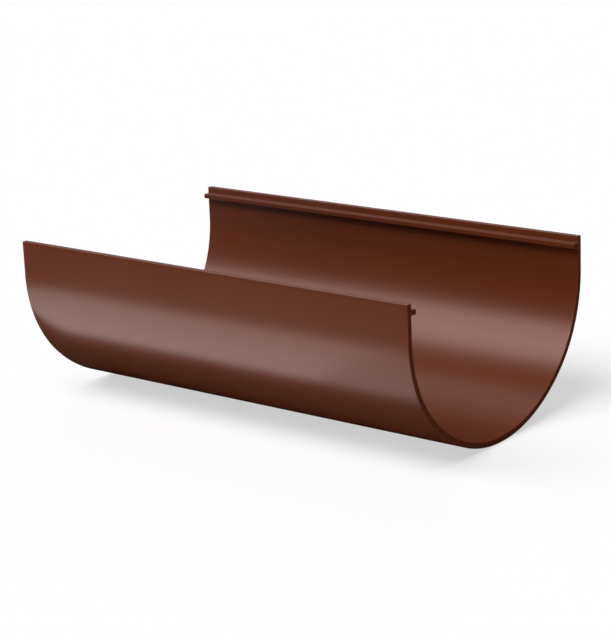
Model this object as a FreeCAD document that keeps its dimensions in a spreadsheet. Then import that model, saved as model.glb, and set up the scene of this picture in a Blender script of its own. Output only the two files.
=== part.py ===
"""Gutter section: a square-cut length of deep half-round plastic rainwater gutter.

The piece is one extrusion.  Its half-section is drawn once and padded along X,
mirrored to the other wall, and the corners left by the die are rounded.  The
length runs along X, the rims face +Z, and the origin is under the middle of
the trough, at the lowest line of its bottom.
"""
import FreeCAD, Part
import math
import os
import Sketcher
from FreeCAD import Vector

NODE = "gutter_channel"

doc = FreeCAD.newDocument("gutter_section")

# Driving dimensions, in millimetres and degrees.  Each is written here only.
sizes = doc.addObject("Spreadsheet::Sheet", "sizes")
DRIVING = [
    ("section_length", 202.0),   # saw cut to saw cut
    ("outer_width", 125.0),      # over both walls
    ("overall_depth", 72.4),     # lowest line of the bottom to the rims
    ("wall_straight", 14.8),     # upright part of each wall, below its rim
    ("wall_thickness", 2.4),     # the same all round the section
    ("flank_sweep", 45.0),       # turn of the tighter arc between wall and bottom
    ("rib_drop", 2.8),           # rim down to the top of the clip rib
    ("rib_thickness", 2.0),
    ("rib_reach", 3.0),          # how far the rib stands in from the wall
    ("rim_round", 0.2),          # corners of the rims
    ("rib_round", 0.15),         # nose corners and root corners of the ribs
]
for row, (alias, value) in enumerate(DRIVING, start=1):
    sizes.set(f"A{row}", alias)
    sizes.set(f"B{row}", str(value))
    sizes.setAlias(f"B{row}", alias)
doc.recompute()


def size(alias):
    """The present value of a cell of the sheet."""
    return float(sizes.get(alias))


def origin_plane(body, role):
    """One of the body's own origin planes."""
    return next(item for item in body.Origin.OriginFeatures if item.Role == role)


def draw_half_section(body):
    """Sketch the +Y half of the section: sketch x is Y, sketch y is Z.

    The bottom is a three-centred curve.  A flank arc turns in from the wall
    through flank_sweep, and a flatter bottom arc runs on from it to the middle.
    The inner arcs share the centres of the outer ones, so the wall is constant.
    """
    sketch = body.newObject("Sketcher::SketchObject", "half_section")
    sketch.AttachmentSupport = (origin_plane(body, "YZ_Plane"), "")
    sketch.MapMode = "FlatFace"

    # First positions, already close to what the constraints ask for.
    outer = size("outer_width") / 2
    inner = outer - size("wall_thickness")
    nose = inner - size("rib_reach")
    rim = size("overall_depth")
    spring = rim - size("wall_straight")
    rib_top = rim - size("rib_drop")
    rib_bottom = rib_top - size("rib_thickness")
    sweep = math.radians(size("flank_sweep"))
    centre_shift = (outer - spring) / (1 - (1 - math.sin(sweep)) / math.cos(sweep))
    flank_centre = Vector(centre_shift, spring, 0)
    bottom_centre = Vector(0, spring + centre_shift * math.tan(sweep), 0)

    def line(start, end):
        return sketch.addGeometry(Part.LineSegment(Vector(*start, 0), Vector(*end, 0)))

    def arc(centre, radius, first, last):
        circle = Part.Circle(centre, Vector(0, 0, 1), radius)
        return sketch.addGeometry(Part.ArcOfCircle(circle, first, last))

    rim_top = line((inner, rim), (outer, rim))
    outer_wall = line((outer, rim), (outer, spring))
    outer_flank = arc(flank_centre, outer - centre_shift, -sweep, 0)
    outer_bottom = arc(bottom_centre, bottom_centre.y, -math.pi / 2, -sweep)
    middle = line((0, 0), (0, rim - spring))
    inner_bottom = arc(bottom_centre, bottom_centre.y - outer + inner, -math.pi / 2, -sweep)
    inner_flank = arc(flank_centre, inner - centre_shift, -sweep, 0)
    inner_wall = line((inner, spring), (inner, rib_bottom))
    rib_under = line((inner, rib_bottom), (nose, rib_bottom))
    rib_nose = line((nose, rib_bottom), (nose, rib_top))
    rib_over = line((nose, rib_top), (inner, rib_top))
    rim_wall = line((inner, rib_top), (inner, rim))

    start, end, centre = 1, 2, 3
    axis_origin, axis_vertical = (-1, 1), -2

    def constrain(kind, *where):
        return sketch.addConstraint(Sketcher.Constraint(kind, *where))

    def dimension(name, formula, kind, *where):
        index = constrain(kind, *where)
        sketch.renameConstraint(index, name)
        sketch.setExpression(f"Constraints.{name}", formula)

    # The outline, corner by corner.
    constrain("Coincident", rim_top, end, outer_wall, start)
    constrain("Tangent", outer_wall, end, outer_flank, end)
    constrain("Tangent", outer_flank, start, outer_bottom, end)
    constrain("Coincident", outer_bottom, start, middle, start)
    constrain("Coincident", middle, end, inner_bottom, start)
    constrain("Tangent", inner_bottom, end, inner_flank, start)
    constrain("Tangent", inner_flank, end, inner_wall, start)
    for before, after in ((inner_wall, rib_under), (rib_under, rib_nose), (rib_nose, rib_over),
                          (rib_over, rim_wall), (rim_wall, rim_top)):
        constrain("Coincident", before, end, after, start)
    for level in (rim_top, rib_under, rib_over):
        constrain("Horizontal", level)
    for upright in (outer_wall, middle, inner_wall, rib_nose, rim_wall):
        constrain("Vertical", upright)

    # The arcs' centres, the middle line and the rib.
    constrain("Coincident", middle, start, *axis_origin)
    constrain("PointOnObject", outer_bottom, centre, axis_vertical)
    constrain("Coincident", inner_bottom, centre, outer_bottom, centre)
    constrain("Coincident", inner_flank, centre, outer_flank, centre)
    constrain("Equal", rib_under, rib_over)

    # The sizes, bound to the sheet.
    dimension("half_width", "sizes.outer_width / 2", "DistanceX", *axis_origin, outer_wall, start, outer)
    dimension("depth", "sizes.overall_depth", "DistanceY", *axis_origin, outer_wall, start, rim)
    dimension("straight", "sizes.wall_straight", "Distance", outer_wall, rim - spring)
    dimension("wall", "sizes.wall_thickness", "Distance", middle, outer - inner)
    dimension("sweep", "sizes.flank_sweep * 1 deg", "Angle", outer_flank, sweep)
    dimension("drop", "sizes.rib_drop", "Distance", rim_wall, rim - rib_top)
    dimension("thickness", "sizes.rib_thickness", "Distance", rib_nose, rib_top - rib_bottom)
    dimension("reach", "sizes.rib_reach", "Distance", rib_under, inner - nose)
    return sketch


def edges_along(shape, corners):
    """Names of the edges that run the full length at these (Y, Z) corners."""
    names = []
    for number, edge in enumerate(shape.Edges, start=1):
        ends = [vertex.Point for vertex in edge.Vertexes]
        runs_along = len(ends) == 2 and abs(ends[0].x - ends[1].x) > size("section_length") / 2
        at_corner = any(math.hypot(ends[0].y - y, ends[0].z - z) < 1e-4 for y, z in corners)
        if runs_along and at_corner:
            names.append(f"Edge{number}")
    return names


def round_corners(body, name, base, corners, alias):
    """Round the long edges of the base feature at these corners."""
    fillet = body.newObject("PartDesign::Fillet", name)
    fillet.Base = (base, edges_along(base.Shape, corners))
    fillet.setExpression("Radius", f"sizes.{alias}")
    body.Tip = fillet
    doc.recompute()
    return fillet


def rib_corners():
    """Nose and root corners of both ribs, as (Y, Z)."""
    root = size("outer_width") / 2 - size("wall_thickness")
    nose = root - size("rib_reach")
    top = size("overall_depth") - size("rib_drop")
    bottom = top - size("rib_thickness")
    return [(side * y, z) for side in (1, -1) for y in (root, nose) for z in (top, bottom)]


def rim_corners():
    """Outer and inner corners of both rims, as (Y, Z)."""
    outer = size("outer_width") / 2
    inner = outer - size("wall_thickness")
    return [(side * y, size("overall_depth")) for side in (1, -1) for y in (outer, inner)]


def make_channel():
    """The gutter: half-section, pad, mirror and rounded corners in one body."""
    body = doc.addObject("PartDesign::Body", NODE)
    body.Label = NODE
    sketch = draw_half_section(body)
    doc.recompute()

    pad = body.newObject("PartDesign::Pad", "half_channel")
    pad.Profile = sketch
    pad.SideType = "Symmetric"
    pad.setExpression("Length", "sizes.section_length")
    sketch.Visibility = False
    doc.recompute()

    both = body.newObject("PartDesign::Mirrored", "both_walls")
    both.Originals = [pad]
    both.MirrorPlane = (origin_plane(body, "XZ_Plane"), [""])
    both.Refine = True
    body.Tip = both
    doc.recompute()

    rims = round_corners(body, "rounded_rims", both, rim_corners(), "rim_round")
    round_corners(body, "rounded_ribs", rims, rib_corners(), "rib_round")
    return body


def check(body):
    """Stop if any feature failed or the solid isn't one sound piece."""
    for item in doc.Objects:
        if "Invalid" in item.State or "Error" in item.State:
            raise RuntimeError(f"{item.Name}: {item.State}")
    shape = body.Shape
    if shape.isNull() or not shape.isValid() or len(shape.Solids) != 1:
        raise RuntimeError(f"{body.Label} is not one valid solid")


channel = make_channel()
check(channel)
os.makedirs("parts", exist_ok=True)
channel.Shape.exportStep(f"parts/{NODE}.step")
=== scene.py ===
"""A square-cut length of brown plastic half-round gutter, lying on a pale studio floor."""
import math

import bpy
import numpy as np
from mathutils import Matrix, Vector


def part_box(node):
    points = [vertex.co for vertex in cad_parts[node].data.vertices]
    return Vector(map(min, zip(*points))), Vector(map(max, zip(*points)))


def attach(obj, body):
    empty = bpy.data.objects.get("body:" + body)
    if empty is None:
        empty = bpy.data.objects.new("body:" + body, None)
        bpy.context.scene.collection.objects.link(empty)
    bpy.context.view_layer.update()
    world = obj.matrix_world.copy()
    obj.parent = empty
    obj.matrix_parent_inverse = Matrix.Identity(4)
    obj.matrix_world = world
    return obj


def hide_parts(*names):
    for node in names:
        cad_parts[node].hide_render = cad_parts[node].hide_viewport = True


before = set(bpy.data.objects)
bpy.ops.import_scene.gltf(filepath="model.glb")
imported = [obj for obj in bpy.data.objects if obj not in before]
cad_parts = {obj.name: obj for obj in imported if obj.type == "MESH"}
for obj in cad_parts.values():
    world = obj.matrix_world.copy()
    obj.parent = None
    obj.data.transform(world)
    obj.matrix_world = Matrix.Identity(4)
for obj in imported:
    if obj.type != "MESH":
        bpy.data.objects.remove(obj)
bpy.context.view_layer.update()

# --- The extruded trough ----------------------------------------------------------------
# One length of gutter, pushed through a die in dark brown PVC-U and cooled in a sizing
# tank.  Two upright walls run into a flattened half-round bottom, and each wall has a
# square rib inside it, just under the rim, for the clips of the brackets to catch on.
_, channel_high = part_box("gutter_channel")
half_length = channel_high.x
half_width = channel_high.y
rim_height = channel_high.z
wall = 0.0024
upright_height = 0.0148
rib_drop = 0.0028
rib_thickness = 0.0020
rib_reach = 0.0030
rim_round = 0.0002
rib_round = 0.00015
cut_bevel = 0.00005
flank_turn = math.radians(45)

rim_points = 6
rib_points = 5
upright_points = 7
flank_points = 40
bottom_points = 50
slices = 41

spring_height = rim_height - upright_height
inner_half_width = half_width - wall
rib_nose = inner_half_width - rib_reach
rib_top = rim_height - rib_drop
rib_bottom = rib_top - rib_thickness
rib_middle = (rib_top + rib_bottom) / 2
flank_shift = (half_width - spring_height) / (1 - (1 - math.sin(flank_turn)) / math.cos(flank_turn))
bottom_radius = spring_height + flank_shift * math.tan(flank_turn)


def arc(centre, radius, first, last, count):
    """Points (y, z) on a circle: centre plus radius times (cosine, sine) of evenly spaced degrees."""
    turn = np.radians(np.linspace(first, last, count))
    return np.column_stack((centre[0] + radius * np.cos(turn), centre[1] + radius * np.sin(turn)))


def run(start, end, count):
    """Points (y, z) spaced evenly from start to end, both ends left out."""
    share = np.linspace(0, 1, count + 2)[1:-1, None]
    return np.array(start) * (1 - share) + np.array(end) * share


def trough_bottom(offset):
    """Half of the round bottom, moved in from the outer face by offset: a flank arc, then a flatter arc."""
    sweep = -math.degrees(flank_turn)
    flank = arc((flank_shift, spring_height), half_width - flank_shift - offset, 0, sweep, flank_points)
    bottom = arc((0, bottom_radius), bottom_radius - offset, sweep, -90, bottom_points)
    return np.vstack((flank, bottom[1:]))


def inner_wall():
    """The inner face of one wall in three chains: the rounded rim, the rib, and the upright below it."""
    root = inner_half_width - rib_round
    nose = rib_nose + rib_round
    rounded_rim = arc((inner_half_width + rim_round, rim_height - rim_round), rim_round, 90, 180, rim_points)
    rib = np.vstack((
        arc((root, rib_top + rib_round), rib_round, 0, -90, rib_points),
        arc((nose, rib_top - rib_round), rib_round, 90, 180, rib_points),
        arc((nose, rib_bottom + rib_round), rib_round, 180, 270, rib_points),
        arc((root, rib_bottom - rib_round), rib_round, 90, 0, rib_points)))
    upright = run((inner_half_width, rib_bottom - rib_round), (inner_half_width, spring_height),
                  upright_points)
    return rounded_rim, rib, upright


def half_section():
    """Outer and inner chains of the +Y half, from the middle of the rim to the middle of the bottom.

    Both have as many points, and a point of one lies across the wall from its partner in the
    other, so the cut ends can be closed by a ladder of faces between them.  The outer points
    behind the rib close up towards its middle: by nothing at its root, and by half at its nose.
    """
    nose_closing = 0.5
    rim_middle = np.array([[half_width - wall / 2, rim_height]])
    rounded_rim, rib, upright = inner_wall()
    inner = np.vstack((rim_middle, rounded_rim, rib, upright, trough_bottom(wall)))
    across = rib.copy()
    reach = (inner_half_width - rib[:, 0]) / rib_reach
    across[:, 0] = half_width
    across[:, 1] = rib_middle + (rib[:, 1] - rib_middle) * (1 - nose_closing * reach)
    outer_rim = arc((half_width - rim_round, rim_height - rim_round), rim_round, 90, 0, rim_points)
    outer_upright = np.column_stack((np.full(len(upright), half_width), upright[:, 1]))
    outer = np.vstack((rim_middle, outer_rim, across, outer_upright, trough_bottom(0)))
    return outer, inner


def whole_loop(outer, inner):
    """The closed outline: down and up the outer face, then back along the inner face."""
    mirror = np.array([-1, 1])
    outer_face = np.vstack((outer, (outer * mirror)[-2::-1]))
    inner_face = np.vstack((inner, (inner * mirror)[-2::-1]))
    return np.vstack((outer_face, inner_face[-2:0:-1])), len(outer_face)


def outward(loop):
    """Unit normals (y, z) of a closed outline, square to the chord between each point's neighbours."""
    chord = np.roll(loop, -1, axis=0) - np.roll(loop, 1, axis=0)
    normal = np.column_stack((-chord[:, 1], chord[:, 0]))
    return normal / np.linalg.norm(normal, axis=1)[:, None]


def carry_along(loop, stations, inset):
    """The outline carried along X: at each station it is drawn in along its normals by that inset."""
    moved = loop[None] + inset[:, None, None] * -outward(loop)[None]
    along = np.broadcast_to(stations[:, None, None], (len(stations), len(loop), 1))
    return np.concatenate((along, moved), axis=2)


outline, face_count = whole_loop(*half_section())
between_bevels = np.linspace(cut_bevel - half_length, half_length - cut_bevel, slices)
stations = np.concatenate(([-half_length], between_bevels, [half_length]))
inset = np.zeros(len(stations))
inset[[0, -1]] = cut_bevel
points = carry_along(outline, stations, inset)

ring = len(outline)
here = np.arange(ring)
after = (here + 1) % ring
start = (np.arange(len(stations) - 1) * ring)[:, None]
walls = np.stack((start + here, start + ring + here, start + ring + after, start + after), axis=-1)
walls = walls.reshape(-1, 4)

outer_index = np.arange(face_count)
inner_index = (ring - outer_index) % ring
ladder = np.column_stack((outer_index[:-1], outer_index[1:], inner_index[1:], inner_index[:-1]))
last_ring = (len(stations) - 1) * ring
far_cut = [list(dict.fromkeys(rung)) for rung in ladder.tolist()]
near_cut = [[last_ring + corner for corner in reversed(rung)] for rung in far_cut]

faces = walls.tolist() + far_cut + near_cut
mesh = bpy.data.meshes.new("gutter_section")
mesh.from_pydata(points.reshape(-1, 3).tolist(), [], faces)
mesh.polygons.foreach_set("use_smooth", [True] * len(faces))
mesh.set_sharp_from_angle(angle=math.radians(30))
finish_index = np.zeros(len(faces), dtype=np.int32)
finish_index[len(walls):] = 1
mesh.polygons.foreach_set("material_index", finish_index)
mesh.update()
gutter = bpy.data.objects.new("gutter_section", mesh)
bpy.context.scene.collection.objects.link(gutter)


def add(tree, kind, settings=None, inputs=None):
    """A new node with its settings and inputs; an input is a number, a colour or another node's output."""
    made = tree.nodes.new(kind)
    for name, value in (settings or {}).items():
        setattr(made, name, value)
    for name, value in (inputs or {}).items():
        if isinstance(value, bpy.types.NodeSocket):
            tree.links.new(value, made.inputs[name])
        else:
            made.inputs[name].default_value = value
    return made


def grain(tree, place, stretch, detail):
    """Noise over the piece, with stretch repeats per metre along X, Y and Z."""
    laid = add(tree, "ShaderNodeMapping", inputs={"Vector": place, "Scale": stretch})
    return add(tree, "ShaderNodeTexNoise", inputs={
        "Vector": laid.outputs["Vector"], "Scale": 1.0, "Detail": detail}).outputs["Fac"]


def blend(tree, first, second, share):
    """A sum of two sockets or numbers: first plus share times second."""
    return add(tree, "ShaderNodeMath", {"operation": "MULTIPLY_ADD"}, {
        0: second, 1: share, 2: first}).outputs[0]


def shade_between(tree, amount, low, high):
    """A colour that runs from low to high as amount goes from 0.3 to 0.7, the usual reach of noise."""
    ramp = add(tree, "ShaderNodeValToRGB", inputs={"Fac": amount})
    for stop, position, colour in zip(ramp.color_ramp.elements, (0.3, 0.7), (low, high)):
        stop.position = position
        stop.color = (*colour, 1)
    return ramp.outputs["Color"]


def plastic(name):
    """A new material of PVC-U, with its node tree, its shader and the place on the piece."""
    material = bpy.data.materials.new(name)
    material.use_nodes = True
    tree = material.node_tree
    shader = tree.nodes["Principled BSDF"]
    shader.inputs["IOR"].default_value = 1.54
    return material, tree, shader, add(tree, "ShaderNodeTexCoord").outputs["Object"]


def surface(tree, shader, colour, roughness, relief, depth):
    """Joins a colour, a roughness and a relief of that depth in metres to the shader."""
    bump = add(tree, "ShaderNodeBump", inputs={"Strength": 1.0, "Distance": depth, "Height": relief})
    tree.links.new(colour, shader.inputs["Base Color"])
    tree.links.new(roughness, shader.inputs["Roughness"])
    tree.links.new(bump.outputs["Normal"], shader.inputs["Normal"])


def brown_pvc():
    """Die-drawn skin: faint lines and pigment streaks along the length, and a fine orange peel."""
    material, tree, shader, place = plastic("brown_pvc")
    die_lines = grain(tree, place, (1.2, 300, 300), 4)
    streaks = grain(tree, place, (5, 60, 60), 2)
    mottle = grain(tree, place, (16, 16, 16), 3)
    orange_peel = grain(tree, place, (900, 900, 900), 1)
    tint = blend(tree, blend(tree, 0.0, streaks, 0.5), mottle, 0.5)
    colour = shade_between(tree, tint, (0.117, 0.0246, 0.0084), (0.133, 0.0286, 0.0100))
    satin = blend(tree, blend(tree, 0.24, die_lines, 0.07), mottle, 0.05)
    relief = blend(tree, blend(tree, 0.0, die_lines, 1.0), orange_peel, 0.25)
    surface(tree, shader, colour, satin, relief, 0.00001)
    shader.inputs["Specular Tint"].default_value = (1.0, 0.69, 0.70, 1)
    return material


def sawn_pvc():
    """The cut ends: matt plastic with the fine arcs that a circular saw leaves, centred above the trough."""
    material, tree, shader, place = plastic("sawn_pvc")
    saw_centre = add(tree, "ShaderNodeMapping", inputs={"Vector": place, "Location": (0, 0.03, -0.16)})
    arcs = add(tree, "ShaderNodeTexWave", {"wave_type": "RINGS", "rings_direction": "X"}, {
        "Vector": saw_centre.outputs["Vector"], "Scale": 330, "Distortion": 2.0, "Detail": 2,
        "Detail Scale": 0.6}).outputs["Fac"]
    crumbs = grain(tree, place, (1500, 1500, 1500), 2)
    tone = blend(tree, blend(tree, 0.1, arcs, 0.3), crumbs, 0.5)
    # The cut ends are coloured a little darker than the skin: painted shade for the little light they get.
    # The saw arcs and crumbs are real.
    colour = shade_between(tree, tone, (0.098, 0.0180, 0.0058), (0.122, 0.0240, 0.0082))
    matt = blend(tree, 0.53, crumbs, 0.14)
    relief = blend(tree, blend(tree, 0.0, arcs, 1.0), crumbs, 0.6)
    surface(tree, shader, colour, matt, relief, 0.00003)
    shader.inputs["Specular IOR Level"].default_value = 0.05
    return material


mesh.materials.append(brown_pvc())
mesh.materials.append(sawn_pvc())
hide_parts("gutter_channel")
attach(gutter, "root")

# --- The floor --------------------------------------------------------------------------
# A plain pale studio floor, large enough to fill the view from every side.  Black card laid on it
# round the gutter, and a strip of card standing past the near wall's far end, show only in gloss:
# they are a painted dark reflection that keeps the pale floor and the light panel out of it, so the brown
# stays deep.
floor_grey = 0.93
floor_reach = 30.0
lift_strength = 1.16
lift_share = 0.5
dark_reflection_grey = 0.02
card_reach = 2.0
card_height = 0.0005
strip_near = -half_length - 0.004
strip_far = -half_length - 0.13
strip_top = 0.06


def matt_sheet(name, corners, grey):
    """A flat matt sheet of that grey through four corners; gives its node tree too."""
    sheet = bpy.data.meshes.new(name)
    sheet.from_pydata(corners, [], [(0, 1, 2, 3)])
    matt = bpy.data.materials.new(name)
    matt.use_nodes = True
    shader = matt.node_tree.nodes["Principled BSDF"]
    shader.inputs["Base Color"].default_value = (grey, grey, grey, 1)
    shader.inputs["Roughness"].default_value = 1.0
    shader.inputs["Specular IOR Level"].default_value = 0.0
    sheet.materials.append(matt)
    laid = bpy.data.objects.new(name, sheet)
    bpy.context.scene.collection.objects.link(laid)
    return laid, matt.node_tree


def level_square(half_side, height):
    """The corners of a level square centred on the gutter."""
    return [(x * half_side, y * half_side, height) for x, y in ((-1, -1), (1, -1), (1, 1), (-1, 1))]


def dark_reflection_card(name, corners):
    """Black card that only gloss shows: a painted dark reflection, unseen by the camera and casting no
    shadow.
    """
    card, _ = matt_sheet(name, corners, dark_reflection_grey)
    for ray in ("camera", "diffuse", "transmission", "volume_scatter", "shadow"):
        setattr(card, "visible_" + ray, False)


def larger(tree, first, second):
    """The larger of two sockets."""
    return add(tree, "ShaderNodeMath", {"operation": "MAXIMUM"}, {0: first, 1: second}).outputs[0]


_, floor_tree = matt_sheet("studio_floor", level_square(floor_reach, 0.0), floor_grey)
path = add(floor_tree, "ShaderNodeLightPath").outputs
looked_at = larger(floor_tree, larger(floor_tree, path["Is Camera Ray"], path["Is Glossy Ray"]),
                   path["Is Transmission Ray"])
lift = add(floor_tree, "ShaderNodeEmission", inputs={"Strength": lift_strength})
lifted = add(floor_tree, "ShaderNodeMixShader", inputs={
    0: blend(floor_tree, 0.0, looked_at, lift_share),
    1: floor_tree.nodes["Principled BSDF"].outputs["BSDF"], 2: lift.outputs["Emission"]})
floor_tree.links.new(lifted.outputs["Shader"], floor_tree.nodes["Material Output"].inputs["Surface"])

# Painted dark reflection: the laid and the standing card show only in gloss.
dark_reflection_card("laid_dark_reflection", level_square(card_reach, card_height))
dark_reflection_card("standing_dark_reflection", [(strip_near, -half_width, 0.0), (strip_far, -half_width, 0.0),
                             (strip_far, -half_width, strip_top), (strip_near, -half_width, strip_top)])

# --- The light --------------------------------------------------------------------------
# One large softbox behind the gutter's left shoulder, two weak ones behind its right, the lower
# of them warm, and a broad fill overhead that gloss doesn't show.  Low panels along both sides,
# brighter towards the far end, show in gloss alone and draw the band on each outer wall.
back_warmth = (1.0, 0.75, 0.75)
panel_offset = 0.11
panel_width = 0.09
room_light = 0.05
low_sweep_top = 0.04


def aimed(name, lamp, position, turn):
    """A lamp put in the scene at that position and turn."""
    holder = bpy.data.objects.new(name, lamp)
    bpy.context.scene.collection.objects.link(holder)
    holder.location = position
    holder.rotation_euler = turn
    return holder


def softbox(name, azimuth, elevation, level, spread):
    """A wide soft lamp far off.  level is how bright it makes a white card that faces it."""
    lamp = bpy.data.lights.new(name, "SUN")
    lamp.energy = level * math.pi
    lamp.angle = math.radians(spread)
    return aimed(name, lamp, (0, 0, 1), (math.radians(90 - elevation), 0, math.radians(azimuth + 90)))


def light_panel(name, centre, length, width, brightness):
    """A panel that shines up and that only gloss shows.  brightness 1 is a white card in full light."""
    lamp = bpy.data.lights.new(name, "AREA")
    lamp.shape = "RECTANGLE"
    lamp.size = length
    lamp.size_y = width
    lamp.energy = brightness * math.pi * length * width
    panel = aimed(name, lamp, centre, (math.pi, 0, 0))
    panel.visible_camera = False
    panel.visible_diffuse = False


softbox("key_softbox", -137, 41, 0.41, 34)
softbox("rim_softbox", 150, 52, 0.05, 24)
back_softbox = softbox("back_softbox", 128, 30, 0.06, 30)
back_softbox.data.color = back_warmth
overhead = softbox("overhead_fill", -90, 60, 0.59, 36)
overhead.visible_glossy = False
for side, across in (("front", -panel_offset), ("back", panel_offset)):
    light_panel(side + "_panel", (-0.0575, across, 0.001), 0.285, panel_width, 1.45)
    light_panel(side + "_far_panel", (-0.085, across, 0.002), 0.23, panel_width, 0.93)

world = bpy.context.scene.world or bpy.data.worlds.new("studio")
bpy.context.scene.world = world
world.use_nodes = True
sky = world.node_tree
height = add(sky, "ShaderNodeSeparateXYZ", inputs={
    "Vector": add(sky, "ShaderNodeTexCoord").outputs["Generated"]}).outputs["Z"]
low_sweep = add(sky, "ShaderNodeMapRange", {"interpolation_type": "SMOOTHSTEP"}, {
    "Value": height, "From Min": 0.0, "From Max": low_sweep_top, "To Min": 1.0, "To Max": 0.0})
path = add(sky, "ShaderNodeLightPath").outputs
in_gloss = blend(sky, 0.0, path["Is Glossy Ray"], low_sweep.outputs["Result"])
shown = larger(sky, in_gloss, larger(sky, path["Is Camera Ray"], path["Is Transmission Ray"]))
sky.links.new(blend(sky, room_light, shown, 1 - room_light), sky.nodes["Background"].inputs["Strength"])
sky.nodes["Background"].inputs["Color"].default_value = (1, 1, 1, 1)
bpy.context.scene.view_settings.view_transform = "Standard"

# --- The camera -------------------------------------------------------------------------
# It looks down into the trough from the near end's right, past the near wall, through a long
# lens, and is rolled a little.
azimuth, elevation, roll = (math.radians(angle) for angle in (38.554, 15.796, -2.268))
aim = Vector((0.0436, -0.0513, 0.0570))
distance = 0.8206
forward = Vector((-math.sin(azimuth) * math.cos(elevation), math.cos(azimuth) * math.cos(elevation),
                  -math.sin(elevation)))
level_right = forward.cross(Vector((0, 0, 1))).normalized()
level_up = level_right.cross(forward)
right = math.cos(roll) * level_right + math.sin(roll) * level_up
up = right.cross(forward)
camera_data = bpy.data.cameras.new("camera")
camera_data.lens = 118.59
camera_data.sensor_width = 36
camera = bpy.data.objects.new("camera", camera_data)
bpy.context.scene.collection.objects.link(camera)
turn = Matrix((right, up, -forward)).transposed().to_4x4()
camera.matrix_world = Matrix.Translation(aim - distance * forward) @ turn
bpy.context.scene.camera = camera
